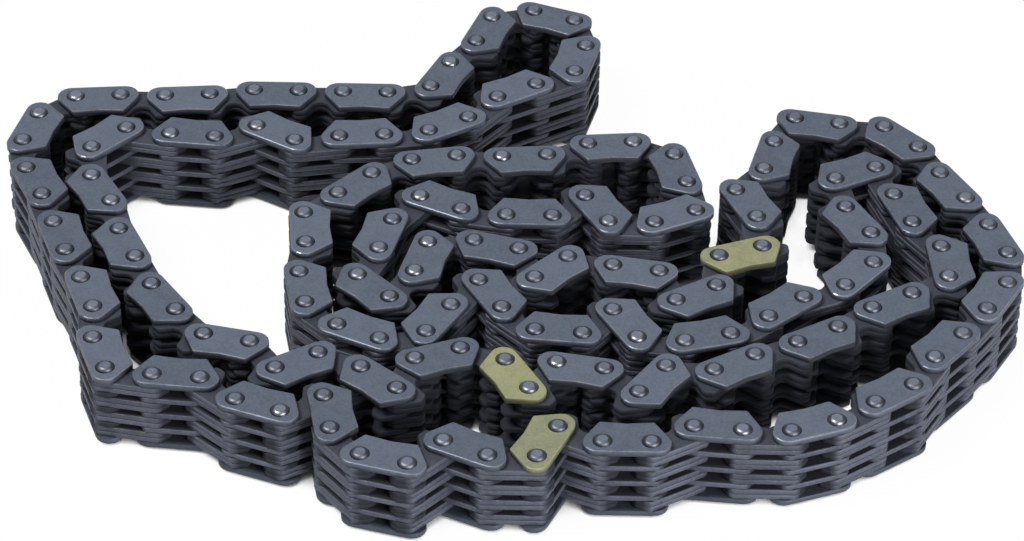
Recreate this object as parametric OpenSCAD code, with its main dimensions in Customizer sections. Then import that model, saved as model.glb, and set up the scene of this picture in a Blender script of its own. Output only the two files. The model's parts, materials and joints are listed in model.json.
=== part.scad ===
// Timing chain of the inverted tooth kind: a closed loop of toothed plates on pins,
// lying on its side in the loose folds of a chain that was tipped out of its box.
// Guide rows (two outer guide plates and the inner plates between them) alternate
// with joint rows (blocks of joint plates). Each pin is fast in its guide row, and
// the next joint row turns on it.

/* [Chain] */
// Distance between neighbouring pins
pitch = 6.35; // [6.35:0.05:6.6]
// Blocks of joint plates across the chain, with one inner plate between blocks
joint_blocks = 4; // [2:1:6]
// Joint plates in each block, lying face to face
block_plates = 2; // [1:1:3]

/* [Plates] */
// Thickness of an inner or joint plate
plate_t = 0.86; // [0.6:0.02:1.2]
// Thickness of an outer guide plate
guide_t = 0.9; // [0.6:0.02:1.4]
// Running gap between neighbouring plates
layer_gap = 0.02; // [0.01:0.01:0.05]
// Height of a plate's straight back edge above the pin line
back_h = 1.97; // [1.5:0.01:1.97]
// Reach of the straight back edge past a pin
back_reach = 1.27; // [0.9:0.01:1.35]
// Reach of the rounded shoulder past a pin
shoulder_reach = 2.16; // [1.9:0.01:2.2]
// Height of the rounded shoulder above the pin line
shoulder_h = 1.27; // [1:0.01:1.35]
// Reach of a plate's end past a pin
end_reach = 2.54; // [2.3:0.01:2.56]
// Depth of the widest point below the pin line
end_drop = 0.13; // [0:0.01:0.3]
// Depth of the teeth below the pin line
tooth_h = 3.68; // [3.2:0.01:3.7]
// Reach of a tooth tip past a pin
toe_reach = 0.38; // [0.2:0.01:0.4]
// Width of a tooth tip on an inner or joint plate
toe_w = 1.5; // [1:0.05:1.8]
// Width of the notch between the teeth at its top
notch_w = 1.6; // [1:0.05:2]
// Depth of the notch's top below the pin line
notch_top = 1.5; // [1.3:0.05:2.4]
// Hollow in the tooth edge of a guide plate
guide_hollow = 0.3; // [0.1:0.05:0.6]

/* [Pins] */
// Radius of a pin
pin_r = 1; // [0.8:0.01:1.05]
// Height of a pin's head above its guide plate
head_h = 0.4; // [0.2:0.05:0.6]
// Bevel around a pin's head
head_bevel = 0.25; // [0.05:0.05:0.35]
// Radial fit of a pin in its own guide row
fast_fit = 0.01; // [0.01:0.005:0.02]
// Radial clearance of a pin in the joint plates that turn on it
running_fit = 0.03; // [0.02:0.005:0.05]

/* [Hidden] */
$fn = 24;

STEEL = [0.40, 0.42, 0.48];
JOINT_STEEL = [0.31, 0.33, 0.38];
PIN_STEEL = [0.56, 0.58, 0.63];
GOLD = [0.62, 0.60, 0.42];

// The direction that each link points in, in degrees from +X, as [guide row, joint row].
// The loop starts at the far left corner, runs right along the top strand, and ends
// up the left edge. Left turns are positive, and the teeth face the right of travel.
top_strand = [[75, 40], [5, 0], [5, 10], [0, 0], [0, 15], [65, 55], [70, 15]];
hook = [[-20, -75], [-105, -150], [-150, -130], [-150, -170]];
upper_inner = [[-175, -170], [150, -155], [175, 170], [-135, -85]];
bay_wall = [[-60, -75], [-65, -65], [-55, -50], [-12, -55], [30, -25], [-40, 70], [20, -20]];
front_strand = [[-60, 55], [-10, -45], [55, -5], [30, 25], [30, 40], [30, 35]];
pocket = [[95, 125], [110, 110], [-155, -80], [-60, -90], [-130, -155], [-140, -145]];
middle_back = [[-165, 175], [120, -130], [175, 135], [120, -125], [-120, -165], [155, 135]];
arch = [[100, 85], [95, 45], [45, 30], [10, 0], [5, 25], [5, -25], [-75, -80]];
arch_inner = [[-155, 180], [120, -135], [180, 170], [155, -125], [-105, -115], [-45, 60]];
middle_run = [[75, 5], [-15, -70], [45, -15], [-10, -70], [30, 85], [20, 95], [115, 50]];
outer_right = [[75, 60], [-10, -5], [-45, -65], [-60, -65], [-70, -95], [-120, -125]];
outer_near = [[-130, -120], [-145, -145], [-160, 180], [175, -150], [180, 155], [-115, 180]];
near_edge = [[155, -135], [165, 130], [100, -150], [160, 140], [175, 170]];
left_edge = [[110, 95], [110, 115], [110, 110]];
rows = concat(top_strand, hook, upper_inner, bay_wall, front_strand, pocket, middle_back,
    arch, arch_inner, middle_run, outer_right, outer_near, near_edge, left_edge);
headings = [for (row = rows) each row];

// Pins of the laid stretch, found by walking from link to link.
walk = [for (i = 0, p = [0, 0]; i <= len(headings);
    p = i < len(headings) ? p + pitch * [cos(headings[i]), sin(headings[i])] : p, i = i + 1) p];

// The last two links close the loop: their shared pin lies one pitch from each end.
chord = walk[0] - walk[len(walk) - 1];
chord_rise = sqrt(pitch * pitch - chord * chord / 4);
closing_pin = (walk[0] + walk[len(walk) - 1]) / 2 + [-chord[1], chord[0]] * chord_rise / norm(chord);
loop = concat(walk, [closing_pin]);
link_count = len(loop);

function span_vector(i) = loop[(i + 1) % link_count] - loop[i];
function heading(i) = atan2(span_vector(i)[1], span_vector(i)[0]);
function is_guide(i) = i % 2 == 0;

// Plate outlines, with the first pin at the origin, the second at [pitch, 0] and the teeth below.
end_points = [[-back_reach, back_h], [-shoulder_reach, shoulder_h], [-end_reach, -end_drop]];
guide_half = concat(end_points, [[-toe_reach, -tooth_h]]);
notched_half = concat(end_points, [
    [-toe_reach, -tooth_h],
    [toe_w - toe_reach, -tooth_h],
    [(pitch - notch_w) / 2, -notch_top]
]);
guide_outline = concat(guide_half, [[pitch / 2, guide_hollow - tooth_h]], flipped(guide_half));
notched_outline = concat(notched_half, flipped(notched_half));
function flipped(half) = [for (i = [len(half) - 1:-1:0]) [pitch - half[i][0], half[i][1]]];

// The middle of the laid chain goes to the origin.
function turned(q, a) = [q[0] * cos(a) - q[1] * sin(a), q[0] * sin(a) + q[1] * cos(a)];
corners = [for (i = [0:link_count - 1]) for (q = notched_outline) loop[i] + turned(q, heading(i))];
corner_x = [for (q = corners) q[0]];
corner_y = [for (q = corners) q[1]];
middle = [(min(corner_x) + max(corner_x)) / 2, (min(corner_y) + max(corner_y)) / 2];

// Heights of the layers, counted up from the surface that the pin heads lie on.
block_t = block_plates * plate_t;
block_step = block_t + plate_t + 2 * layer_gap;
stack_z = head_h + guide_t + layer_gap;
inner_z = stack_z + block_t + layer_gap;
top_guide_z = stack_z + joint_blocks * block_step - plate_t - layer_gap;
pin_l = top_guide_z + guide_t + head_h;

// Stretches that swing as one, as [first link, last link]. The first and last links
// are the arms, and always point opposite ways.
left_wall = [149, 38];
left_corner = [157, 32];
top_hook = [0, 16];
front_fold = [44, 70];
right_pocket = [53, 66];
middle_left = [79, 104];
middle_arch = [84, 97];
middle_tip = [89, 94];
right_sweep = [114, 139];
right_shoulder = [119, 132];
right_crown = [121, 130];
base_folds = [left_wall, front_fold, middle_left, right_sweep];

// Links whose top guide plate is a gold timing mark. A mark sits on a guide row, so a
// number in between takes the nearest one.
front_mark = 44;
right_mark = 116;
near_mark = 142;
function guide_link(i) = 2 * round(i / 2) % link_count;
marks = [guide_link(front_mark), guide_link(right_mark), guide_link(near_mark)];

function within(i, fold) = fold[0] <= fold[1]
    ? i >= fold[0] && i <= fold[1]
    : i >= fold[0] || i <= fold[1];
function in_any(i, folds) = len([for (fold = folds) if (within(i, fold)) i]) > 0;
function between(fold, inner = []) = [for (i = [0:link_count - 1])
    if (within(i, fold) && i != fold[0] && i != fold[1] && !in_any(i, inner)) i];
function rest_of_loop(folds) = [for (i = [0:link_count - 1]) if (!in_any(i, folds)) i];
function guides_of(links) = [for (i = links) if (is_guide(i)) i];
function joints_of(links) = [for (i = links) if (!is_guide(i)) i];
function unmarked(links) = [for (i = links) if (len(search(i, marks)) == 0) i];

module place(i) {
    translate([loop[i][0] - middle[0], loop[i][1] - middle[1], 0])
        rotate([0, 0, heading(i)])
        children();
}

module plate(outline, thickness, hole_r) {
    linear_extrude(thickness)
        difference() {
            polygon(outline);
            circle(r = hole_r);
            translate([pitch, 0]) circle(r = hole_r);
        }
}

module guide_plate() {
    plate(guide_outline, guide_t, pin_r + fast_fit);
}

module top_guides(links) {
    for (i = links) place(i) translate([0, 0, top_guide_z]) guide_plate();
}

module bottom_guides(links) {
    for (i = links) place(i) translate([0, 0, head_h]) guide_plate();
}

module inner_plates(links) {
    for (i = guides_of(links)) for (k = [0:joint_blocks - 2]) place(i)
        translate([0, 0, inner_z + k * block_step])
        plate(notched_outline, plate_t, pin_r + fast_fit);
}

module joint_plates(links) {
    for (i = joints_of(links)) for (k = [0:joint_blocks - 1]) place(i)
        translate([0, 0, stack_z + k * block_step])
        plate(notched_outline, block_t, pin_r + running_fit);
}

module pin() {
    rotate_extrude()
        polygon([
            [0, 0], [pin_r - head_bevel, 0], [pin_r, head_bevel],
            [pin_r, pin_l - head_bevel], [pin_r - head_bevel, pin_l], [0, pin_l]
        ]);
}

module pins(links) {
    for (i = guides_of(links)) place(i) for (x = [0, pitch]) translate([x, 0, 0]) pin();
}

module all_plates(links) {
    top_guides(unmarked(guides_of(links)));
    bottom_guides(guides_of(links));
    inner_plates(links);
    joint_plates(links);
}

// One link by itself: its plates, and its two pins where it is a guide row.
module single_link(i) {
    color(is_guide(i) ? STEEL : JOINT_STEEL) all_plates([i]);
    color(PIN_STEEL) pins([i]);
}

module run_plates(fold, inner = []) { color(STEEL) all_plates(between(fold, inner)); }
module run_pins(fold, inner = []) { color(PIN_STEEL) pins(between(fold, inner)); }

base = rest_of_loop(base_folds);
module base_top_guides() { color(STEEL) top_guides(unmarked(guides_of(base))); }
module base_bottom_guides() { color(STEEL) bottom_guides(guides_of(base)); }
module base_inner_plates() { color(JOINT_STEEL) inner_plates(base); }
module base_joint_plates() { color(JOINT_STEEL) joint_plates(base); }
module base_pins() { color(PIN_STEEL) pins(base); }

module left_wall_lead() { single_link(left_wall[0]); }
module left_wall_plates() { run_plates(left_wall, [left_corner]); }
module left_wall_pins() { run_pins(left_wall, [left_corner]); }
module left_wall_tail() { single_link(left_wall[1]); }

module left_corner_lead() { single_link(left_corner[0]); }
module left_corner_plates() { run_plates(left_corner, [top_hook]); }
module left_corner_pins() { run_pins(left_corner, [top_hook]); }
module left_corner_tail() { single_link(left_corner[1]); }

module top_hook_lead() { single_link(top_hook[0]); }
module top_hook_plates() { run_plates(top_hook); }
module top_hook_pins() { run_pins(top_hook); }
module top_hook_tail() { single_link(top_hook[1]); }

module front_strand_lead() { single_link(front_fold[0]); }
module front_strand_plates() { run_plates(front_fold, [right_pocket]); }
module front_strand_pins() { run_pins(front_fold, [right_pocket]); }
module front_strand_tail() { single_link(front_fold[1]); }

module right_pocket_lead() { single_link(right_pocket[0]); }
module right_pocket_plates() { run_plates(right_pocket); }
module right_pocket_pins() { run_pins(right_pocket); }
module right_pocket_tail() { single_link(right_pocket[1]); }

module middle_left_lead() { single_link(middle_left[0]); }
module middle_left_plates() { run_plates(middle_left, [middle_arch]); }
module middle_left_pins() { run_pins(middle_left, [middle_arch]); }
module middle_left_tail() { single_link(middle_left[1]); }

module middle_arch_lead() { single_link(middle_arch[0]); }
module middle_arch_plates() { run_plates(middle_arch, [middle_tip]); }
module middle_arch_pins() { run_pins(middle_arch, [middle_tip]); }
module middle_arch_tail() { single_link(middle_arch[1]); }

module middle_tip_lead() { single_link(middle_tip[0]); }
module middle_tip_plates() { run_plates(middle_tip); }
module middle_tip_pins() { run_pins(middle_tip); }
module middle_tip_tail() { single_link(middle_tip[1]); }

module right_sweep_lead() { single_link(right_sweep[0]); }
module right_sweep_plates() { run_plates(right_sweep, [right_shoulder]); }
module right_sweep_pins() { run_pins(right_sweep, [right_shoulder]); }
module right_sweep_tail() { single_link(right_sweep[1]); }

module right_shoulder_lead() { single_link(right_shoulder[0]); }
module right_shoulder_plates() { run_plates(right_shoulder, [right_crown]); }
module right_shoulder_pins() { run_pins(right_shoulder, [right_crown]); }
module right_shoulder_tail() { single_link(right_shoulder[1]); }

module right_crown_lead() { single_link(right_crown[0]); }
module right_crown_plates() { run_plates(right_crown); }
module right_crown_pins() { run_pins(right_crown); }
module right_crown_tail() { single_link(right_crown[1]); }

module front_mark_plate() { color(GOLD) top_guides([guide_link(front_mark)]); }
module right_mark_plate() { color(GOLD) top_guides([guide_link(right_mark)]); }
module near_mark_plate() { color(GOLD) top_guides([guide_link(near_mark)]); }

base_top_guides();
base_bottom_guides();
base_inner_plates();
base_joint_plates();
base_pins();
left_wall_lead();
left_wall_plates();
left_wall_pins();
left_wall_tail();
left_corner_lead();
left_corner_plates();
left_corner_pins();
left_corner_tail();
top_hook_lead();
top_hook_plates();
top_hook_pins();
top_hook_tail();
front_strand_lead();
front_strand_plates();
front_strand_pins();
front_strand_tail();
right_pocket_lead();
right_pocket_plates();
right_pocket_pins();
right_pocket_tail();
middle_left_lead();
middle_left_plates();
middle_left_pins();
middle_left_tail();
middle_arch_lead();
middle_arch_plates();
middle_arch_pins();
middle_arch_tail();
middle_tip_lead();
middle_tip_plates();
middle_tip_pins();
middle_tip_tail();
right_sweep_lead();
right_sweep_plates();
right_sweep_pins();
right_sweep_tail();
right_shoulder_lead();
right_shoulder_plates();
right_shoulder_pins();
right_shoulder_tail();
right_crown_lead();
right_crown_plates();
right_crown_pins();
right_crown_tail();
front_mark_plate();
right_mark_plate();
near_mark_plate();
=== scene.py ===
"""Inverted tooth timing chain, lying on its side in loose folds.

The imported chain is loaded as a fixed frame. Every row of plates and every pin is then
made again as a finished surface on the same pin centres, and rides on the same body.
"""
import json
import logging
import math
from dataclasses import dataclass, field
from enum import Enum

import bpy
import numpy as np
from mathutils import Matrix, Vector

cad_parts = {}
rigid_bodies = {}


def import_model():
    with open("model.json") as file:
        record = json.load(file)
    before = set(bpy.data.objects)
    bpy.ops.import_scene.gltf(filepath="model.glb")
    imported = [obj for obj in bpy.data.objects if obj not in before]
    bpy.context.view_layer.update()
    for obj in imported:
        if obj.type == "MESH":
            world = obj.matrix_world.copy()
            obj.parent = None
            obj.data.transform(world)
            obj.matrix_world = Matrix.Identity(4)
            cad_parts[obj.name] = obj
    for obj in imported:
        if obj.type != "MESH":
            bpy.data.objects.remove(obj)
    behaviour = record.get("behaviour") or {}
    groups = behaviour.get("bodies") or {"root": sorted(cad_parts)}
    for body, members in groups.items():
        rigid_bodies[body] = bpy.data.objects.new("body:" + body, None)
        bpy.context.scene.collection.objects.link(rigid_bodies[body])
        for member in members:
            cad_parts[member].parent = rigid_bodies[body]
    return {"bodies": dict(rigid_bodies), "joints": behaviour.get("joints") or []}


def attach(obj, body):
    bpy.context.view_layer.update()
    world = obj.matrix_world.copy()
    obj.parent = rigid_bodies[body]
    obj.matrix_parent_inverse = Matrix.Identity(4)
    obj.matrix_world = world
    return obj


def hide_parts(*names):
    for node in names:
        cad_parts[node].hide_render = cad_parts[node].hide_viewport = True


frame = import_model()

LOG = logging.getLogger("timing_chain")
MM = 0.001

# The direction of each link in degrees from +X, as [guide row, joint row], in the
# order of travel. The teeth face the right of travel.
TOP_STRAND = ((75, 40), (5, 0), (5, 10), (0, 0), (0, 15), (65, 55), (70, 15))
HOOK = ((-20, -75), (-105, -150), (-150, -130), (-150, -170))
UPPER_INNER = ((-175, -170), (150, -155), (175, 170), (-135, -85))
BAY_WALL = ((-60, -75), (-65, -65), (-55, -50), (-12, -55), (30, -25), (-40, 70), (20, -20))
FRONT_STRAND = ((-60, 55), (-10, -45), (55, -5), (30, 25), (30, 40), (30, 35))
POCKET = ((95, 125), (110, 110), (-155, -80), (-60, -90), (-130, -155), (-140, -145))
MIDDLE_BACK = ((-165, 175), (120, -130), (175, 135), (120, -125), (-120, -165), (155, 135))
ARCH = ((100, 85), (95, 45), (45, 30), (10, 0), (5, 25), (5, -25), (-75, -80))
ARCH_INNER = ((-155, 180), (120, -135), (180, 170), (155, -125), (-105, -115), (-45, 60))
MIDDLE_RUN = ((75, 5), (-15, -70), (45, -15), (-10, -70), (30, 85), (20, 95), (115, 50))
OUTER_RIGHT = ((75, 60), (-10, -5), (-45, -65), (-60, -65), (-70, -95), (-120, -125))
OUTER_NEAR = ((-130, -120), (-145, -145), (-160, 180), (175, -150), (180, 155), (-115, 180))
NEAR_EDGE = ((155, -135), (165, 130), (100, -150), (160, 140), (175, 170))
LEFT_EDGE = ((110, 95), (110, 115), (110, 110))
ROWS = (TOP_STRAND + HOOK + UPPER_INNER + BAY_WALL + FRONT_STRAND + POCKET + MIDDLE_BACK
        + ARCH + ARCH_INNER + MIDDLE_RUN + OUTER_RIGHT + OUTER_NEAR + NEAR_EDGE + LEFT_EDGE)


class Row(Enum):
    """The two kinds of row that take turns along the chain."""

    GUIDE = 0
    JOINT = 1


class Side(Enum):
    """Which way a plate's finished face looks."""

    UP = 1.0
    DOWN = -1.0


@dataclass(frozen=True)
class Fold:
    """A stretch that swings between two arms.

    Attributes:
        name: the start of the names of its three bodies and its nodes.
        lead: the link that is its first arm.
        tail: the link that is its last arm.
    """

    name: str
    lead: int
    tail: int

    def links(self, count: int) -> np.ndarray:
        """The links from lead to tail, past the end of the loop where needed."""
        return (self.lead + np.arange((self.tail - self.lead) % count + 1)) % count


FOLDS = (
    Fold("left_wall", 149, 38), Fold("left_corner", 157, 32), Fold("top_hook", 0, 16),
    Fold("front_strand", 44, 70), Fold("right_pocket", 53, 66),
    Fold("middle_left", 79, 104), Fold("middle_arch", 84, 97), Fold("middle_tip", 89, 94),
    Fold("right_sweep", 114, 139), Fold("right_shoulder", 119, 132),
    Fold("right_crown", 121, 130),
)
MARKS = {44: "front_mark_plate", 116: "right_mark_plate", 142: "near_mark_plate"}
BASE_NODES = {
    "guides": ("base_top_guides", "base_bottom_guides"),
    "inner": ("base_inner_plates",),
    "joint": ("base_joint_plates",),
    "pins": ("base_pins",),
}


@dataclass(frozen=True)
class ChainSize:
    """The chain's sizes in metres, the same as the part's.

    Attributes:
        pitch: distance between neighbouring pins.
        plate_t: thickness of an inner or joint plate.
        guide_t: thickness of a guide plate.
        gap: running gap between neighbouring plates.
        head_h: height of a pin's head above its guide plate.
        pin_r: radius of a pin.
        blocks: blocks of joint plates across the chain.
        block_plates: joint plates in a block.
    """

    pitch: float = 6.35 * MM
    plate_t: float = 0.86 * MM
    guide_t: float = 0.9 * MM
    gap: float = 0.02 * MM
    head_h: float = 0.4 * MM
    pin_r: float = 1.0 * MM
    blocks: int = 4
    block_plates: int = 2

    @property
    def block_step(self) -> float:
        """Height from one block of joint plates to the next."""
        return (self.block_plates + 1) * self.plate_t + 2 * self.gap

    @property
    def stack_z(self) -> float:
        """Height of the lowest joint plate."""
        return self.head_h + self.guide_t + self.gap

    @property
    def top_guide_z(self) -> float:
        """Height of the under face of the top guide plates."""
        return self.stack_z + self.blocks * self.block_step - self.plate_t - self.gap

    @property
    def pin_l(self) -> float:
        """Length of a pin, which is also the chain's width."""
        return self.top_guide_z + self.guide_t + self.head_h

    def joint_heights(self) -> np.ndarray:
        """Heights of the under faces of a joint row's plates."""
        block = np.arange(self.blocks)[:, None] * self.block_step
        plate = np.arange(self.block_plates)[None, :] * self.plate_t
        return (self.stack_z + block + plate).ravel()

    def inner_heights(self) -> np.ndarray:
        """Heights of the under faces of a guide row's inner plates."""
        first = self.stack_z + self.block_plates * self.plate_t + self.gap
        return first + np.arange(self.blocks - 1) * self.block_step


@dataclass
class Path2D:
    """The closed line of pins in plan, placed in the frame.

    Attributes:
        size: the chain's sizes.
        anchor_joint: a joint of the frame whose pin is known.
        anchor_pin: the number of that joint's pin.
        pins: the place of every pin in plan.
        along: the direction of every link, from its pin to the next.
    """

    size: ChainSize
    anchor_joint: str = "left_wall_swing"
    anchor_pin: int = 149
    pins: np.ndarray = field(init=False)
    along: np.ndarray = field(init=False)

    def __post_init__(self) -> None:
        """Walk from link to link, close the loop, and move it to the frame's pin.

        A pin is the last one plus one pitch in the link's direction. The last pin is
        where two circles of one pitch about its neighbours meet, on the left.
        """
        turn = np.radians(np.array(ROWS, float).ravel())
        steps = self.size.pitch * np.stack([np.cos(turn), np.sin(turn)], axis=1)
        walk = np.vstack([np.zeros((1, 2)), np.cumsum(steps, axis=0)])
        chord = walk[0] - walk[-1]
        rise = math.sqrt(self.size.pitch ** 2 - float(chord @ chord) / 4)
        left = np.array([-chord[1], chord[0]]) / np.linalg.norm(chord)
        pins = np.vstack([walk, (walk[0] + walk[-1]) / 2 + left * rise])
        joint = next(j for j in frame["joints"] if j["name"] == self.anchor_joint)
        self.pins = pins + np.array(joint["pos_m"][:2]) - pins[self.anchor_pin]
        self.along = (np.roll(self.pins, -1, axis=0) - self.pins) / self.size.pitch

    @property
    def count(self) -> int:
        """Number of links, which is also the number of pins."""
        return len(self.pins)

    def owners(self) -> list[str]:
        """Go through the folds, so that an inner one takes its links from the outer one.

        Returns:
            The body that each link rides on.
        """
        owner = ["base"] * self.count
        for fold in FOLDS:
            for link in fold.links(self.count):
                owner[link] = f"{fold.name}_run"
            owner[fold.lead] = f"{fold.name}_lead"
            owner[fold.tail] = f"{fold.name}_tail"
        return owner


@dataclass
class Template:
    """One shape that is stamped many times.

    Attributes:
        verts: points in metres, one row each.
        loops: the corners of all faces, one after the other.
        sizes: the number of corners of each face.
        smooth: whether each face is shaded smooth.
        marks: values on the points, by attribute name.
        bevel: 1 on each face that is a polished edge, 0 on the others.
    """

    verts: np.ndarray
    loops: np.ndarray
    sizes: np.ndarray
    smooth: np.ndarray
    marks: dict[str, np.ndarray]
    bevel: np.ndarray


def rounded(corners: np.ndarray, cuts: np.ndarray, steps: int) -> np.ndarray:
    """Round the inner corners of an open line.

    Each corner C becomes a quadratic curve from A to B, both at the corner's cut from
    it along its two sides: (1 - t)^2 A + 2 t (1 - t) C + t^2 B.

    Args:
        corners: points of the line, one row each.
        cuts: how far from each inner corner its curve starts, in metres.
        steps: points on each curve.

    Returns:
        The line with its first and last points and the curves between them.
    """
    inner = corners[1:-1]
    back = corners[:-2] - inner
    ahead = corners[2:] - inner
    start = inner + back / np.linalg.norm(back, axis=1, keepdims=True) * cuts[:, None]
    end = inner + ahead / np.linalg.norm(ahead, axis=1, keepdims=True) * cuts[:, None]
    t = np.linspace(0, 1, steps)[None, :, None]
    curve = (1 - t) ** 2 * start[:, None] + 2 * t * (1 - t) * inner[:, None] + t ** 2 * end[:, None]
    return np.vstack([corners[:1], curve.reshape(-1, 2), corners[-1:]])


def inset(outline: np.ndarray, depth: float) -> np.ndarray:
    """Move a closed clockwise outline inwards by the same depth on every side.

    Each point goes along the sum of its two sides' inward normals, divided by one plus
    their dot product, which is the meeting point of the two moved sides.

    Args:
        outline: points in order, one row each.
        depth: distance in metres.

    Returns:
        The moved points.
    """
    ahead = np.roll(outline, -1, axis=0) - outline
    ahead /= np.linalg.norm(ahead, axis=1, keepdims=True)
    normal = np.stack([ahead[:, 1], -ahead[:, 0]], axis=1)
    before = np.roll(normal, 1, axis=0)
    share = 1 + np.sum(normal * before, axis=1, keepdims=True)
    return outline + (normal + before) / share * depth


@dataclass(frozen=True)
class PlateShape:
    """The stamped outlines of the plates, in metres, in a plate's own plan.

    The first pin is at the origin, the second one pitch along +X, the teeth face -Y.

    Attributes:
        back_h: height of the straight back above the pins.
        back_reach: how far the straight back reaches past a pin.
        shoulder_h: height of the shoulder above the pins.
        shoulder_reach: how far the shoulder reaches past a pin.
        end_reach: how far the end's corner reaches past a pin, before it is rounded.
        end_drop: depth of the end's corner below the pins.
        narrow_reach: how far the back of an inner or joint plate reaches past a pin.
        steep_h: height of the same plates' shoulder above the pins.
        steep_reach: how far that shoulder reaches past a pin.
        tooth_h: depth of the teeth below the pins.
        toe_reach: how far a tooth tip reaches past a pin.
        toe_w: width of a tooth tip.
        notch_w: width of the notch at its top.
        notch_top: depth of the notch's top below the pins.
        hollow: hollow in the tooth edge of a guide plate.
        edge: width of the bevel around a plate.
        edge_fall: height of the bevel as a share of its width.
        soot_start: share of the plate's depth where soot and painted shade on its side begin.
        soot_span: share of the depth over which they become full.
        end_start: how far past a pin soot and painted shade on an inside plate's end begin.
        end_span: distance over which it reaches its most.
        end_soot: the most soot and painted shade on an inside plate's end.
        end_shine: share of the soot and painted shade that is missing over the ends of an inside
            face.
        seam_soot: painted shadow on a guide plate's edge where it meets the stack.
        low_soot: how much darker the lower outer edge of a bottom guide plate is.
        guide_cuts: how far from a guide plate's corners their roundings start.
        guide_steps: points on each of those roundings.
        toothed_cuts: the same distances on an inner or joint plate.
        toothed_steps: points on each of those.
    """

    back_h: float = 2.02 * MM
    back_reach: float = 1.2 * MM
    shoulder_h: float = 1.36 * MM
    shoulder_reach: float = 2.25 * MM
    end_reach: float = 2.73 * MM
    end_drop: float = 0.13 * MM
    narrow_reach: float = 1.1 * MM
    steep_h: float = 0.95 * MM
    steep_reach: float = 1.95 * MM
    tooth_h: float = 3.72 * MM
    toe_reach: float = 0.4 * MM
    toe_w: float = 1.5 * MM
    notch_w: float = 1.6 * MM
    notch_top: float = 1.5 * MM
    hollow: float = 0.3 * MM
    edge: float = 0.12 * MM
    edge_fall: float = 0.8
    soot_start: float = 0.33
    soot_span: float = 0.3
    end_start: float = 1.05 * MM
    end_span: float = 0.45 * MM
    end_soot: float = 0.85
    end_shine: float = 0.3
    seam_soot: float = 0.7
    low_soot: float = 0.56
    guide_cuts: tuple[float, ...] = (0.2 * MM, 0.7 * MM, 0.62 * MM, 0.6 * MM)
    guide_steps: int = 3
    toothed_cuts: tuple[float, ...] = (
        0.45 * MM, 0.25 * MM, 0.2 * MM, 0.7 * MM, 0.4 * MM, 0.3 * MM)
    toothed_steps: int = 2

    def guide_half(self, pitch: float) -> np.ndarray:
        """Half a guide plate: straight lines whose corners are rounded.

        Args:
            pitch: distance between the pins.

        Returns:
            Points (x, y) from the middle of its hollow to the middle of its back.
        """
        line = [
            (pitch / 2, self.hollow - self.tooth_h),
            (-self.toe_reach, -self.tooth_h),
            (-self.end_reach, -self.end_drop),
            (-self.shoulder_reach, self.shoulder_h),
            (-self.back_reach, self.back_h),
            (pitch / 2, self.back_h),
        ]
        return rounded(np.array(line), np.array(self.guide_cuts), self.guide_steps)

    def toothed_half(self, pitch: float) -> np.ndarray:
        """Half an inner or joint plate: straight lines whose corners are rounded.

        Args:
            pitch: distance between the pins.

        Returns:
            Points (x, y) from the middle of its notch to the middle of its back.
        """
        line = [
            (pitch / 2, -self.notch_top),
            ((pitch - self.notch_w) / 2, -self.notch_top),
            (self.toe_w - self.toe_reach, -self.tooth_h),
            (-self.toe_reach, -self.tooth_h),
            (-self.end_reach, -self.end_drop),
            (-self.steep_reach, self.steep_h),
            (-self.narrow_reach, self.back_h),
            (pitch / 2, self.back_h),
        ]
        return rounded(np.array(line), np.array(self.toothed_cuts), self.toothed_steps)


def mirrored(half: np.ndarray, pitch: float) -> np.ndarray:
    """A whole clockwise outline from its left half, mirrored about the plate's middle."""
    other = np.stack([pitch - half[-2:0:-1, 0], half[-2:0:-1, 1]], axis=1)
    return np.vstack([half, other])


def ring_faces(grid: np.ndarray) -> np.ndarray:
    """Quads between the rows of a grid of point numbers that is closed sideways.

    Args:
        grid: point numbers, each row a clockwise ring, the rows rising or, on a top
            face, going inwards.

    Returns:
        Four point numbers for each face, with the outside in front.
    """
    ahead = np.roll(grid, -1, axis=1)
    return np.stack([grid[:-1], grid[1:], ahead[1:], ahead[:-1]], axis=-1).reshape(-1, 4)


def lifted(ring: np.ndarray, height: float) -> np.ndarray:
    """A ring of the plan with its height as a third column."""
    return np.column_stack([ring, np.full(len(ring), height)])


def tooth_soot_and_shade(y: np.ndarray, shape: PlateShape) -> np.ndarray:
    """Soot and painted shade on a plate's side: none on the back, rising past the pins to full at
    the teeth.
    """
    depth = (shape.back_h - y) / (shape.back_h + shape.tooth_h)
    return np.clip((depth - shape.soot_start) / shape.soot_span, 0, 1)


def end_soot(x: np.ndarray, shape: PlateShape, pitch: float) -> np.ndarray:
    """Soot and painted shade on the ends of an inside plate, where they fall away past the pins."""
    beyond = np.abs(x - pitch / 2) - pitch / 2
    return np.clip((beyond - shape.end_start) / shape.end_span, 0, 1) * shape.end_soot


def face_soot_and_shade(x: np.ndarray, shape: PlateShape, pitch: float) -> np.ndarray:
    """Soot and painted shade on a face inside the stack: full between the pins, less over the ends.
    """
    away = np.abs(x - pitch / 2) / (pitch / 2 + shape.back_reach)
    return 1.0 - shape.end_shine * np.clip(away, 0, 1)


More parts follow.
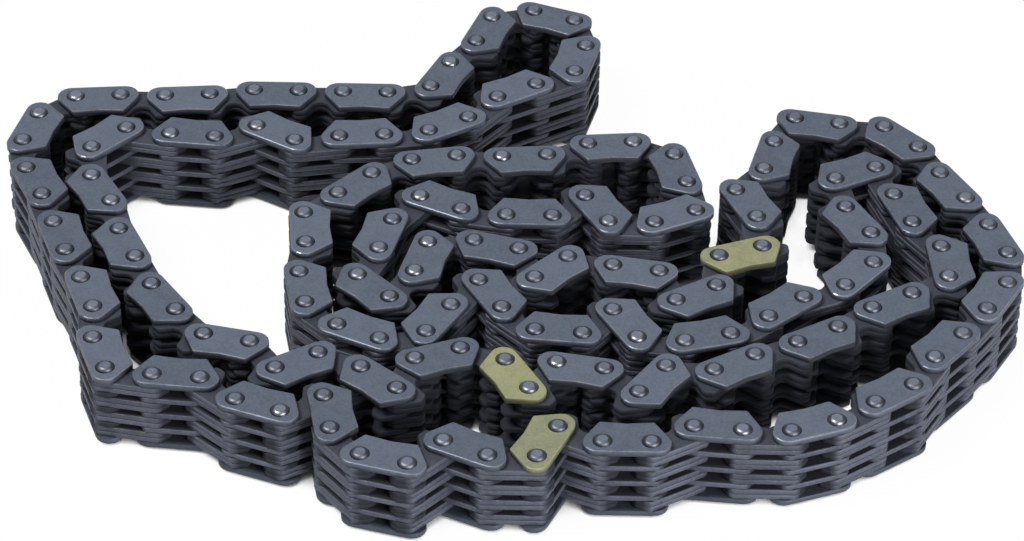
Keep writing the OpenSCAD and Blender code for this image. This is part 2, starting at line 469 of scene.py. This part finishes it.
def stamped_plate(half: np.ndarray, shape: PlateShape, size: ChainSize, thick: float,
                  side: Side | None = None) -> Template:
    """A plate: its outline carried up a short profile that is bevelled at an open face.

    The side's points keep the outline's own curve, and the bevels and faces are flat.

    Args:
        half: half of the outline, from the middle of the tooth edge to that of the back.
        shape: the plate's sizes.
        size: the chain's sizes.
        thick: the plate's thickness.
        side: which way its clean outer face looks, or None for a plate inside the stack,
        which is bevelled at both faces and has soot and painted shade on both.

    Returns:
        The plate with its under face at height 0.
    """
    outline = mirrored(half, size.pitch)
    inner = inset(outline, shape.edge)
    fall = shape.edge * shape.edge_fall
    top = [(outline, thick - fall), (inner, thick)]
    rings = [(outline, 0.0)] + top
    band = [1.0, 0.0]
    if side is None:
        rings = [(inner, 0.0), (outline, fall)] + top
        band = [0.0, 1.0, 0.0]
    verts = np.vstack([lifted(ring, height) for ring, height in rings])
    grid = np.arange(len(verts)).reshape(len(rings), -1)
    # Soot with painted shade: darker from the back towards the teeth, which lie in the trenches.
    soot = tooth_soot_and_shade(verts[:, 1], shape)
    if side is None:
        # painted shade in the dark windows of the stack past the pins, with soot
        soot = np.maximum(soot, end_soot(verts[:, 0], shape, size.pitch))
        # painted shade with soot on the faces inside the stack, where the plates lie on each other
        flats = grid[[0, -1]].ravel()
        soot[flats] = np.maximum(soot, face_soot_and_shade(verts[:, 0], shape, size.pitch))[flats]
    else:
        # painted shadow along the guide plate's side where it meets the stack
        soot[grid[0]] = np.maximum(soot[grid[0]], shape.seam_soot)
        soot[grid[-1]] = 0.0
    faces = [ring_faces(grid), grid[0], grid[-1][::-1]]
    if side is Side.DOWN:
        # the lower outer edge of a bottom guide plate is made darker
        soot[grid[1]] = np.maximum(soot[grid[1]], shape.low_soot)
        verts = verts * [1, 1, -1] + [0, 0, thick]
        faces = [face[..., ::-1] for face in faces]
    band = np.append(np.repeat(band, len(outline)), [0.0, 0.0])
    flat = np.arange(len(band)) >= len(band) - 2
    return Template(
        verts=verts,
        loops=np.concatenate([face.ravel() for face in faces]),
        sizes=np.concatenate([np.full(len(faces[0]), 4), [len(outline)] * 2]),
        smooth=band > 0,
        marks={"soot": soot},
        bevel=np.where(flat | (band > 0), 0.0, 1.0),
    )


@dataclass(frozen=True)
class RivetHead:
    """The peened head of a pin, in metres.

    Attributes:
        crown_r: radius of the flat crown.
        foot_r: radius of the foot, on the guide plate.
        foot_sink: how far the foot stands in the guide plate.
        neck_sink: how far into the plate it has gone back in to the pin.
        columns: points around the pin.
    """

    crown_r: float = 0.68 * MM
    foot_r: float = 1.37 * MM
    foot_sink: float = 0.02 * MM
    neck_sink: float = 0.12 * MM
    columns: int = 14


def riveted_pin(head: RivetHead, size: ChainSize) -> Template:
    """A pin with a peened head at each end, as a profile turned about its axis.

    The profile runs from the crown down the flank to the foot on the plate, and from
    there back in to the pin.

    Args:
        head: the head's sizes.
        size: the chain's sizes.

    Returns:
        The pin standing on height 0.
    """
    radius = np.array([head.crown_r, head.foot_r, size.pin_r])
    below = np.array([0.0, size.head_h + head.foot_sink, size.head_h + head.neck_sink])
    radii = np.concatenate([radius, radius[::-1]])
    heights = np.concatenate([below, (size.pin_l - below)[::-1]])
    turn = np.arange(head.columns) * 2 * math.pi / head.columns
    ring = np.stack([np.cos(turn), -np.sin(turn)], axis=1)
    verts = np.vstack([lifted(ring * r, height) for r, height in zip(radii, heights)])
    grid = np.arange(len(verts)).reshape(len(radii), -1)
    quads = ring_faces(grid)
    flank = np.repeat([1.0, 0.0, 1.0, 0.0, 1.0], head.columns)
    foot = np.clip(below / size.head_h, 0, 1)
    return Template(
        verts=verts,
        loops=np.concatenate([quads.ravel(), grid[0], grid[-1][::-1]]),
        sizes=np.concatenate([np.full(len(quads), 4), [head.columns] * 2]),
        smooth=np.append(flank > 0, [False, False]),
        marks={"foot": np.repeat(np.concatenate([foot, foot[::-1]]), head.columns)},
        bevel=np.append(flank, [0.0, 0.0]),
    )


@dataclass
class Stamper:
    """Stamps a template at many places into one mesh object.

    Attributes:
        path: the line of pins.
        seed: seed of the random tones.
    """

    path: Path2D
    seed: int = 7

    def stamp(self, name: str, template: Template, links: np.ndarray,
              heights: np.ndarray, at: tuple[float, ...] = (0.0,)) -> bpy.types.Object:
        """Make one object from a template at every link, height and place along it.

        A point goes to pin + x * along + y * across, and up by the height.

        Args:
            name: the object's name.
            template: the shape.
            links: numbers of the links.
            heights: heights of each copy's foot, in metres.
            at: distances along the link of each copy, in metres.

        Returns:
            The new object, at the origin.
        """
        link, height, shift = (a.ravel() for a in np.meshgrid(links, heights, at, indexing="ij"))
        link = link.astype(int)
        along = self.path.along[link]
        across = np.stack([-along[:, 1], along[:, 0]], axis=1)
        foot = self.path.pins[link] + along * shift[:, None]
        plan = (foot[:, None] + template.verts[None, :, :1] * along[:, None]
                + template.verts[None, :, 1:2] * across[:, None])
        up = template.verts[None, :, 2:] + height[:, None, None]
        verts = np.concatenate([plan, up], axis=2).reshape(-1, 3)
        copies, points = len(link), len(template.verts)
        shifts = np.arange(copies)[:, None] * points
        loops = (template.loops[None] + shifts).ravel()
        sizes = np.tile(template.sizes, copies)
        mesh = bpy.data.meshes.new(name)
        mesh.vertices.add(len(verts))
        mesh.vertices.foreach_set("co", verts.astype(np.float32).ravel())
        mesh.loops.add(len(loops))
        mesh.loops.foreach_set("vertex_index", loops.astype(np.int32))
        mesh.polygons.add(len(sizes))
        starts = np.concatenate([[0], np.cumsum(sizes)[:-1]])
        mesh.polygons.foreach_set("loop_start", starts.astype(np.int32))
        mesh.polygons.foreach_set("use_smooth", np.tile(template.smooth, copies))
        mesh.update(calc_edges=True)
        tones = np.random.default_rng(self.seed + int(link.sum())).random(copies)
        marks = {(key, "POINT"): np.tile(value, copies) for key, value in template.marks.items()}
        marks["tone", "POINT"] = np.repeat(tones, points)
        marks["bevel", "FACE"] = np.tile(template.bevel, copies)
        for (key, domain), values in marks.items():
            layer = mesh.attributes.new(key, "FLOAT", domain)
            layer.data.foreach_set("value", values.astype(np.float32))
        mesh.validate()
        thing = bpy.data.objects.new(name, mesh)
        bpy.context.scene.collection.objects.link(thing)
        return thing


class Socket:
    """One output of a shader node, with the usual operators for shader maths."""

    def __init__(self, shader: "Shader", output: bpy.types.NodeSocket) -> None:
        """Keep the shader being built and a node's output."""
        self.shader = shader
        self.output = output

    def math(self, operation: str, *others: "Socket | float") -> "Socket":
        """A Math node of this value and others."""
        return self.shader.node("ShaderNodeMath", {"operation": operation}, self, *others)

    def __add__(self, other: "Socket | float") -> "Socket":
        """Sum of two values."""
        return self.math("ADD", other)

    __radd__ = __add__

    def __mul__(self, other: "Socket | float") -> "Socket":
        """Product of two values."""
        return self.math("MULTIPLY", other)

    def __sub__(self, other: "Socket | float") -> "Socket":
        """Difference of two values."""
        return self.math("SUBTRACT", other)

    def __rsub__(self, other: "Socket | float") -> "Socket":
        """A number less this value."""
        return self * -1.0 + other

    def ramp(self, low: float, high: float) -> "Socket":
        """0 at low and below, 1 at high and above, with a straight slope between."""
        return self.shader.node(
            "ShaderNodeMapRange", {"clamp": True}, self, low, high, 0.0, 1.0)


class Shader:
    """A node tree of a material or world, with one method that makes every kind of node."""

    def __init__(self, owner: bpy.types.ID, surface: str = "Principled BSDF") -> None:
        """Start from the shader that a new material or world comes with.

        Args:
            owner: the material or world.
            surface: the name of that shader's node.
        """
        owner.use_nodes = True
        self.owner = owner
        self.tree = owner.node_tree
        self.surface = self.tree.nodes[surface]

    def node(self, kind: str, settings: dict[str, object], *inputs: object,
             output: int = 0) -> Socket:
        """Make a node.

        Args:
            kind: the node's type.
            settings: attributes, set before the inputs.
            inputs: values or sockets of its inputs in order, with None for one left alone.
            output: the number of the output that is wanted.

        Returns:
            That output.
        """
        made = self.tree.nodes.new(kind)
        for key, value in settings.items():
            setattr(made, key, value)
        for slot, value in zip(made.inputs, inputs):
            self.feed(slot, value)
        return Socket(self, made.outputs[output])

    def feed(self, slot: bpy.types.NodeSocket, value: object) -> None:
        """Link a socket to an input, or set the input's own value.

        Args:
            slot: the input.
            value: a socket or a value, or None to leave the input alone.
        """
        if isinstance(value, Socket):
            self.tree.links.new(value.output, slot)
        elif value is not None:
            slot.default_value = value

    def set(self, **inputs: object) -> None:
        """Feed the shader's own inputs, with _ for a space in their names."""
        for key, value in inputs.items():
            self.feed(self.surface.inputs[key.replace("_", " ")], value)

    def attribute(self, name: str) -> Socket:
        """A value that is stored on the mesh."""
        return self.node("ShaderNodeAttribute", {"attribute_name": name}, output=2)

    def place(self) -> Socket:
        """Object coordinates."""
        return self.node("ShaderNodeTexCoord", {}, output=3)

    def rays(self) -> tuple[Socket, Socket]:
        """Two values: 1 for rays of the camera, and 1 for rays of gloss."""
        camera = self.node("ShaderNodeLightPath", {})
        return camera, self.node("ShaderNodeLightPath", {}, output=3)

    def noise(self, scale: float, detail: float, roughness: float = 0.6) -> Socket:
        """Noise on Object coordinates, about 0.5 on average, with scale features per metre."""
        return self.node("ShaderNodeTexNoise", {}, self.place(), None, scale, detail, roughness)

    def mix(self, share: "Socket | float", first: object, second: object) -> Socket:
        """A colour between two colours.

        Args:
            share: 0 for the first colour, 1 for the second.
            first: a colour or a socket.
            second: the same.

        Returns:
            The mixed colour.
        """
        made = self.tree.nodes.new("ShaderNodeMix")
        made.data_type = "RGBA"
        for slot, value in ((0, share), (6, first), (7, second)):
            self.feed(made.inputs[slot], value)
        return Socket(self, made.outputs[2])

    def bump(self, height: Socket, strength: float, distance: float) -> Socket:
        """A normal that follows small heights.

        Args:
            height: the heights, 0 to 1.
            strength: share of the effect.
            distance: metres that a height of 1 stands for.

        Returns:
            The normal.
        """
        made = self.tree.nodes.new("ShaderNodeBump")
        self.feed(made.inputs["Strength"], strength)
        self.feed(made.inputs["Distance"], distance)
        self.feed(made.inputs["Height"], height)
        return Socket(self, made.outputs[0])


Colour = tuple[float, float, float, float]


@dataclass(frozen=True)
class Wear:
    """How tone, grain, rubbing, and dirt with painted shade add up on every plate.

    Attributes:
        patches: soft patches per metre.
        grains: fine grains per metre.
        layers: finer layers of the patches and of the grain.
        tone: weight of a plate's own tone in its shade.
        grain: weight of the grain in its shade.
        rub: weights of bevels, patches and grain in the rubbing.
        rub_range: sums of those at which rubbing begins and is full.
        rubbed: how much of the worn colour full rubbing shows.
        rim_range: tones of plates from which rims are worn, and are worn most.
        rim_polish: how much smoother the most worn rims are.
        open_z: height above and below the chain's middle past which less dirt and painted shade
            lie.
        open_step: height over which it becomes less.
        open_clean: share of the dirt and painted shade that is missing there.
        dirt: how soon dirt and painted shade cover the steel.
        dirt_patch: weight of the patches in the dirt and painted shade.
        rough: weights of grain, patches, and dirt with painted shade in the roughness.
        relief: weights of patches and grain in the bumps.
        bump: strength of the bumps.
        bump_h: their height in metres.
    """

    patches: float = 420.0
    grains: float = 2600.0
    layers: tuple[float, float] = (4.0, 3.0)
    tone: float = 0.5
    grain: float = 1.8
    rub: tuple[float, float, float] = (0.5, 0.5, 0.3)
    rub_range: tuple[float, float] = (0.75, 1.0)
    rubbed: float = 0.7
    rim_range: tuple[float, float] = (0.7, 0.95)
    rim_polish: float = 0.2
    open_z: float = 4.75 * MM
    open_step: float = 0.02 * MM
    open_clean: float = 0.4
    dirt: float = 1.2
    dirt_patch: float = 0.3
    rough: tuple[float, float, float] = (0.2, 0.06, 0.25)
    relief: tuple[float, float] = (0.7, 0.3)
    bump: float = 0.2
    bump_h: float = 0.03 * MM


@dataclass(frozen=True)
class PlateFinish:
    """Oiled or marked steel on a stamped plate.

    Attributes:
        name: the material's name.
        pale: colour of its lightest plates.
        deep: colour of its darkest plates.
        soot: colour of oil, dirt and painted shade in hollows and between the teeth.
        worn: colour of rubbed edges and specks.
        metallic: share of bare metal.
        rough: roughness of its smoothest places.
        mottle: strength of its soft patches.
        polish: how much smoother its bevels are.
        rim: how bright the bevels of the few most worn plates are rubbed.
        shine: strength of the gloss of oil and dirt.
        wear: how its parts add up.
    """

    name: str
    pale: Colour
    deep: Colour
    soot: Colour
    worn: Colour
    metallic: float
    rough: float
    mottle: float = 1.0
    polish: float = 0.0
    rim: float = 0.0
    shine: float = 0.3
    wear: Wear = Wear()

    def build(self, middle_z: float) -> bpy.types.Material:
        """Tone by plate, fine grain, rubbed edges, and dirt with painted shade in the hollows.

        Args:
            middle_z: height of the chain's middle.

        Returns:
            The material.
        """
        shader, wear = Shader(bpy.data.materials.new(self.name)), self.wear
        tone, bevel = shader.attribute("tone"), shader.attribute("bevel")
        height = shader.node("ShaderNodeSeparateXYZ", {}, shader.place(), output=2)
        away = (height - middle_z).math("ABSOLUTE")
        outer = away.ramp(wear.open_z, wear.open_z + wear.open_step)
        clouds = shader.noise(wear.patches, wear.layers[0])
        grain = shader.noise(wear.grains, wear.layers[1])
        shade = (tone * wear.tone + (clouds - 0.5) * self.mottle + (grain - 0.5) * wear.grain
                 + (1 - wear.tone) / 2)
        colour = shader.mix(shade.ramp(0.0, 1.0), self.deep, self.pale)
        rub = bevel * wear.rub[0] + clouds * wear.rub[1] + grain * wear.rub[2]
        rim = tone.ramp(*wear.rim_range) * bevel * self.rim
        worn = (rub.ramp(*wear.rub_range) * wear.rubbed + rim).ramp(0.0, 1.0)
        colour = shader.mix(worn, colour, self.worn)
        # dirt and painted shade from the plate's mark, less on the outer plates of the chain
        dirt = shader.attribute("soot") * (1.0 - outer * wear.open_clean)
        dirt = (dirt * wear.dirt + (clouds - 0.5) * dirt * wear.dirt_patch).ramp(0.0, 1.0)
        rough = grain * wear.rough[0] + clouds * wear.rough[1] + dirt * wear.rough[2]
        relief = clouds * wear.relief[0] + grain * wear.relief[1]
        shader.set(
            Base_Color=shader.mix(dirt, colour, self.soot),
            Metallic=(1.0 - dirt) * self.metallic,
            Roughness=rough - bevel * self.polish - rim * wear.rim_polish + self.rough,
            Specular_IOR_Level=self.shine,
            Normal=shader.bump(relief, wear.bump, wear.bump_h),
        )
        return shader.owner


@dataclass(frozen=True)
class PinFinish:
    """Riveted steel with oil and painted shade around the foot of its head.

    Attributes:
        name: the material's name.
        bright: colour of the crown.
        dull: colour of its darkest places.
        flank: colour of the bare metal on the flank.
        keen: the same on the few pins that are rubbed bright.
        oil: colour of oil and painted shade around the foot.
        rough: roughness of the crown.
        hollows: hammered hollows per metre.
        layers: their finer layers.
        tone_shade: weight of a pin's own tone in its shade.
        hollow_shade: weight of the hollows in its shade.
        shade_range: sums of those for the dullest and the brightest places.
        oil_range: heights down the head, as shares, where the oil and painted shade begin and are
            full.
        oil_patch: how unevenly the oil and painted shade begin.
        oil_share: how much of the colour of oil and painted shade shows.
        crown_metal: share of bare metal on the crown. The flank is all bare.
        keen_range: tones of pins from which the flank is rubbed, and is brightest.
        dulled: how much rougher than the crown the flank is.
        polish: how much smoother than that the brightest ones are.
        tone_rough: weight of the tone in the roughness.
        hollow_rough: weight of the hollows in the roughness.
        bump: strength of the hollows.
        bump_h: their depth in metres.
    """

    name: str
    bright: Colour
    dull: Colour
    flank: Colour
    keen: Colour
    oil: Colour
    rough: float
    hollows: float = 1500.0
    layers: float = 3.0
    tone_shade: float = 0.5
    hollow_shade: float = 0.9
    shade_range: tuple[float, float] = (0.3, 1.1)
    oil_range: tuple[float, float] = (0.6, 1.2)
    oil_patch: float = 0.2
    oil_share: float = 0.8
    crown_metal: float = 0.35
    keen_range: tuple[float, float] = (0.8, 1.0)
    dulled: float = 0.12
    polish: float = 0.22
    tone_rough: float = 0.1
    hollow_rough: float = 0.12
    bump: float = 0.2
    bump_h: float = 0.04 * MM

    def build(self) -> bpy.types.Material:
        """Tone by pin, hammered clouds on the crown, and oil with painted shade at the foot."""
        shader = Shader(bpy.data.materials.new(self.name))
        tone, foot, flank = (shader.attribute(name) for name in ("tone", "foot", "bevel"))
        clouds = shader.noise(self.hollows, self.layers)
        shade = (tone * self.tone_shade + clouds * self.hollow_shade).ramp(*self.shade_range)
        keen = tone.ramp(*self.keen_range)
        metal = shader.mix(keen, self.flank, self.keen)
        colour = shader.mix(flank, shader.mix(shade, self.dull, self.bright), metal)
        # oil and painted shade darken the crease at the foot of the head
        oil = (foot + (clouds - 0.5) * self.oil_patch).ramp(*self.oil_range)
        shader.set(
            Base_Color=shader.mix(oil * self.oil_share, colour, self.oil),
            Metallic=self.crown_metal + flank * (1 - self.crown_metal),
            Roughness=(clouds * self.hollow_rough + tone * self.tone_rough
                       + flank * (self.dulled - keen * self.polish) + self.rough),
            Normal=shader.bump(clouds, self.bump, self.bump_h),
        )
        return shader.owner


@dataclass
class Finishes:
    """Every finish of the chain.

    Attributes:
        middle_z: height of the chain's middle.
        guide: the outer guide plates.
        joint: the inner and joint plates.
        mark: the gold timing marks.
        pin: the pins.
    """

    middle_z: float
    guide: bpy.types.Material = field(init=False)
    joint: bpy.types.Material = field(init=False)
    mark: bpy.types.Material = field(init=False)
    pin: bpy.types.Material = field(init=False)

    def __post_init__(self) -> None:
        """Build the four materials."""
        self.guide = PlateFinish(
            "blued_guide_steel", pale=(0.134, 0.158, 0.212, 1), deep=(0.08, 0.096, 0.132, 1),
            soot=(0.017, 0.018, 0.021, 1), worn=(0.28, 0.29, 0.32, 1),
            metallic=0.35, rough=0.3, polish=0.06, rim=0.7).build(self.middle_z)
        self.joint = PlateFinish(
            "oiled_joint_steel", pale=(0.132, 0.145, 0.19, 1), deep=(0.07, 0.078, 0.105, 1),
            soot=(0.028, 0.032, 0.042, 1), worn=(0.22, 0.225, 0.25, 1),
            metallic=0.4, rough=0.4, shine=0.2).build(self.middle_z)
        self.mark = PlateFinish(
            "gold_mark", pale=(0.34, 0.343, 0.174, 1), deep=(0.212, 0.226, 0.155, 1),
            soot=(0.02, 0.02, 0.01, 1), worn=(0.4, 0.4, 0.28, 1),
            metallic=0.25, rough=0.35, mottle=1.6).build(self.middle_z)
        self.pin = PinFinish(
            "riveted_pin_steel", bright=(0.17, 0.198, 0.258, 1), dull=(0.085, 0.1, 0.138, 1),
            flank=(0.18, 0.195, 0.235, 1), keen=(0.38, 0.4, 0.45, 1),
            oil=(0.01, 0.011, 0.014, 1), rough=0.3).build()


@dataclass
class ChainBuilder:
    """Builds the visible plates and pins of every body.

    Attributes:
        size: the chain's sizes.
        shape: the plates' outline.
        head: the pins' heads.
        made: how many pieces there are so far.
    """

    size: ChainSize
    shape: PlateShape
    head: RivetHead
    made: int = 0

    def __post_init__(self) -> None:
        """Work out the path, the templates and the finishes."""
        self.path = Path2D(self.size)
        self.stamper = Stamper(self.path)
        self.finishes = Finishes(self.size.pin_l / 2)
        guide_half = self.shape.guide_half(self.size.pitch)
        toothed_half = self.shape.toothed_half(self.size.pitch)
        self.joint = stamped_plate(toothed_half, self.shape, self.size, self.size.plate_t)
        self.top = stamped_plate(guide_half, self.shape, self.size, self.size.guide_t, Side.UP)
        self.bottom = stamped_plate(guide_half, self.shape, self.size, self.size.guide_t, Side.DOWN)
        self.pin = riveted_pin(self.head, self.size)

    def dress(self, piece: bpy.types.Object, finish: bpy.types.Material,
              body: str, nodes: tuple[str, ...]) -> None:
        """Give a piece its finish, its body and the nodes that it stands for.

        Args:
            piece: the new object.
            finish: its material.
            body: the body that it rides on.
            nodes: the CAD nodes that it replaces.
        """
        piece.data.materials.append(finish)
        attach(piece, body)
        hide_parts(*nodes)
        self.made += 1
        LOG.info("%s: %d faces on %s", piece.name, len(piece.data.polygons), body)

    def nodes_of(self, body: str, kind: str) -> tuple[str, ...]:
        """The CAD nodes that a body's plates or pins stand for.

        Args:
            body: the body's name.
            kind: one of the kinds of part on the base body.

        Returns:
            The nodes' names.
        """
        if body == "base":
            return BASE_NODES[kind]
        stem = body.rsplit("_", 1)[0]
        if body.endswith("_run"):
            return (f"{stem}_pins",) if kind == "pins" else (f"{stem}_plates",)
        return (body,)

    def build_body(self, body: str, links: np.ndarray) -> None:
        """Make the pieces of one body.

        Args:
            body: the body's name.
            links: numbers of its links.
        """
        guides = links[links % 2 == Row.GUIDE.value]
        joints = links[links % 2 == Row.JOINT.value]
        plain = np.array([i for i in guides if i not in MARKS], int)
        size, stamp = self.size, self.stamper.stamp
        top, low = np.array([size.top_guide_z]), np.array([size.head_h])
        nodes = {kind: self.nodes_of(body, kind) for kind in BASE_NODES}
        if len(plain):
            piece = stamp(f"{body}_top_guides", self.top, plain, top)
            self.dress(piece, self.finishes.guide, body, nodes["guides"])
        if len(guides):
            piece = stamp(f"{body}_bottom_guides", self.bottom, guides, low)
            self.dress(piece, self.finishes.guide, body, nodes["guides"])
            piece = stamp(f"{body}_inner_plates", self.joint, guides, size.inner_heights())
            self.dress(piece, self.finishes.joint, body, nodes["inner"])
            piece = stamp(f"{body}_riveted_pins", self.pin, guides, np.zeros(1), (0.0, size.pitch))
            self.dress(piece, self.finishes.pin, body, nodes["pins"])
        if len(joints):
            piece = stamp(f"{body}_joint_plates", self.joint, joints, size.joint_heights())
            self.dress(piece, self.finishes.joint, body, nodes["joint"])
        for link in (i for i in guides if i in MARKS):
            piece = stamp(f"{MARKS[link]}_gold", self.top, np.array([link]), top)
            self.dress(piece, self.finishes.mark, body, (MARKS[link],))

    def build(self) -> None:
        """Make the pieces of every body."""
        owner = np.array(self.path.owners())
        for body in frame["bodies"]:
            self.build_body(body, np.flatnonzero(owner == body))
        LOG.info("%d pieces in all", self.made)


@dataclass(frozen=True)
class Lamp:
    """A square soft lamp that faces the chain.

    Attributes:
        name: the lamp's name.
        place: where it hangs, in metres.
        size: length of its side in metres.
        power: watts.
    """

    name: str
    place: tuple[float, float, float]
    size: float
    power: float

    def hang(self) -> None:
        """Put the lamp in the scene, unseen by the camera."""
        data = bpy.data.lights.new(self.name, "AREA")
        data.shape, data.size, data.energy = "SQUARE", self.size, self.power
        thing = bpy.data.objects.new(self.name, data)
        thing.location = self.place
        thing.visible_camera = False
        thing.rotation_euler = (-Vector(self.place)).to_track_quat("-Z", "Y").to_euler()
        bpy.context.scene.collection.objects.link(thing)


@dataclass(frozen=True)
class Studio:
    """The floor, the lights and the camera.

    Attributes:
        azimuth: turn of the camera about +Z, 0 looking along +Y, in degrees.
        elevation: height of the camera above the floor's plane, in degrees.
        roll: turn of the camera about its own view, in degrees.
        distance: metres from the camera to the point that it looks at.
        focus: that point, in the frame.
        focal_px: focal length in pixels of the photograph.
        image_w: width of the photograph in pixels.
        sensor: width of the camera's sensor in millimetres.
        clip: nearest and farthest distance that the camera sees, in metres.
        floor_half: half the floor's side in metres.
        floor_z: height of the floor, just below the chain.
        floor_lines: lines of points along each side of the floor.
        floor_seen: the floor's own colour to the camera and to gloss.
        floor_lit: the floor's colour to the light that bounces.
        floor_rough: the floor's roughness.
        floor_glow: share of plain white in what the camera sees of the floor.
        shade_reach: how near the chain hides the glow, so that only its shadow is seen.
        shade_range: openness at which the glow begins, and at which it is full.
        sky_light: strength of the sky's light on the chain.
        sky_gloss: brightness of the high sky in what the steel mirrors.
        sky_rise: heights of the view ray between which that sky turns bright.
        horizon: colour of the horizon in what the steel mirrors.
        lamps: the lamps.
    """

    azimuth: float = 0.0
    elevation: float = 40.0
    roll: float = 1.0
    distance: float = 0.5407
    focus: tuple[float, float, float] = (0.715 * MM, -10.8 * MM, 12.22 * MM)
    focal_px: float = 4000.0
    image_w: float = 1024.0
    sensor: float = 36.0
    clip: tuple[float, float] = (0.01, 10.0)
    floor_half: float = 3.0
    floor_z: float = -0.02 * MM
    floor_lines: int = 13
    floor_seen: Colour = (0.3, 0.3, 0.3, 1)
    floor_lit: Colour = (0.95, 0.95, 0.95, 1)
    floor_rough: float = 0.9
    floor_glow: float = 0.97
    shade_reach: float = 9 * MM
    shade_range: tuple[float, float] = (0.15, 0.35)
    sky_light: float = 0.26
    sky_gloss: float = 0.3
    sky_rise: tuple[float, float] = (0.25, 0.7)
    horizon: Colour = (0.02, 0.02, 0.025, 1)
    lamps: tuple[Lamp, ...] = (
        Lamp("back_softbox", (0.0, 0.75, 0.62), 0.7, 1.4),
        Lamp("key_softbox", (-0.43, -0.14, 0.8), 0.3, 6.0),
        Lamp("front_fill", (0.25, -0.33, 0.1), 0.22, 1.4),
    )

    def camera(self) -> None:
        """Stand the camera at the photograph's place."""
        data = bpy.data.cameras.new("photo_camera")
        data.sensor_width = self.sensor
        data.lens = self.sensor * self.focal_px / self.image_w
        data.clip_start, data.clip_end = self.clip
        thing = bpy.data.objects.new("photo_camera", data)
        bpy.context.scene.collection.objects.link(thing)
        turn, rise = math.radians(self.azimuth), math.radians(self.elevation)
        level = math.cos(rise)
        away = Vector((math.sin(turn) * level, -math.cos(turn) * level, math.sin(rise)))
        thing.location = Vector(self.focus) + away * self.distance
        look = (-away).to_track_quat("-Z", "Y").to_matrix().to_4x4()
        spin = Matrix.Rotation(math.radians(self.roll), 4, "Z")
        thing.rotation_euler = (look @ spin).to_euler()
        bpy.context.scene.camera = thing

    def floor(self) -> None:
        """Lay a pale floor that shows white to the camera and keeps the shadow."""
        lines = self.floor_lines
        line = np.linspace(-self.floor_half, self.floor_half, lines)
        x, y = np.meshgrid(line, line, indexing="ij")
        verts = np.stack([x, y, np.full_like(x, self.floor_z)], axis=-1).reshape(-1, 3)
        first = np.arange(lines * lines).reshape(lines, lines)[:-1, :-1].ravel()
        quads = np.stack([first, first + lines, first + lines + 1, first + 1], axis=1)
        mesh = bpy.data.meshes.new("studio_floor")
        mesh.from_pydata(verts.tolist(), [], quads.tolist())
        thing = bpy.data.objects.new("studio_floor", mesh)
        bpy.context.scene.collection.objects.link(thing)
        shader = Shader(bpy.data.materials.new("pale_floor"))
        camera, glossy = shader.rays()
        seen = camera.math("MAXIMUM", glossy)
        shader.set(Base_Color=shader.mix(seen, self.floor_seen, self.floor_lit),
                   Roughness=self.floor_rough)
        glow = shader.node("ShaderNodeEmission", {}, (1, 1, 1, 1), 1.0)
        body = Socket(shader, shader.surface.outputs[0])
        clear = shader.node("ShaderNodeAmbientOcclusion", {}, None, self.shade_reach, output=1)
        share = seen * clear.ramp(*self.shade_range) * self.floor_glow
        both = shader.node("ShaderNodeMixShader", {}, share, body, glow)
        shader.feed(shader.tree.nodes["Material Output"].inputs["Surface"], both)
        mesh.materials.append(shader.owner)

    def world(self) -> None:
        """A soft even sky. The camera sees it white, and gloss sees it dim at the horizon."""
        world = bpy.data.worlds.new("studio_sky")
        bpy.context.scene.world = world
        shader = Shader(world, "Background")
        camera, glossy = shader.rays()
        ray = shader.node("ShaderNodeTexCoord", {})
        height = shader.node("ShaderNodeSeparateXYZ", {}, ray, output=2).ramp(*self.sky_rise)
        dim, white = (self.sky_light,) * 3 + (1,), (1, 1, 1, 1)
        gloss = shader.mix(height * self.sky_gloss, self.horizon, white)
        shader.set(Color=shader.mix(camera, shader.mix(glossy, dim, gloss), white), Strength=1.0)

    def build(self) -> None:
        """Set the view transform, the floor, the lights and the camera."""
        bpy.context.scene.view_settings.view_transform = "Standard"
        self.floor()
        self.world()
        for lamp in self.lamps:
            lamp.hang()
        self.camera()


def main() -> None:
    """Build the chain and its studio."""
    logging.basicConfig(level=logging.INFO, format="%(message)s")
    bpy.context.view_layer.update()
    ChainBuilder(ChainSize(), PlateShape(), RivetHead()).build()
    Studio().build()
    bpy.context.view_layer.update()


if __name__ == "__main__":
    main()
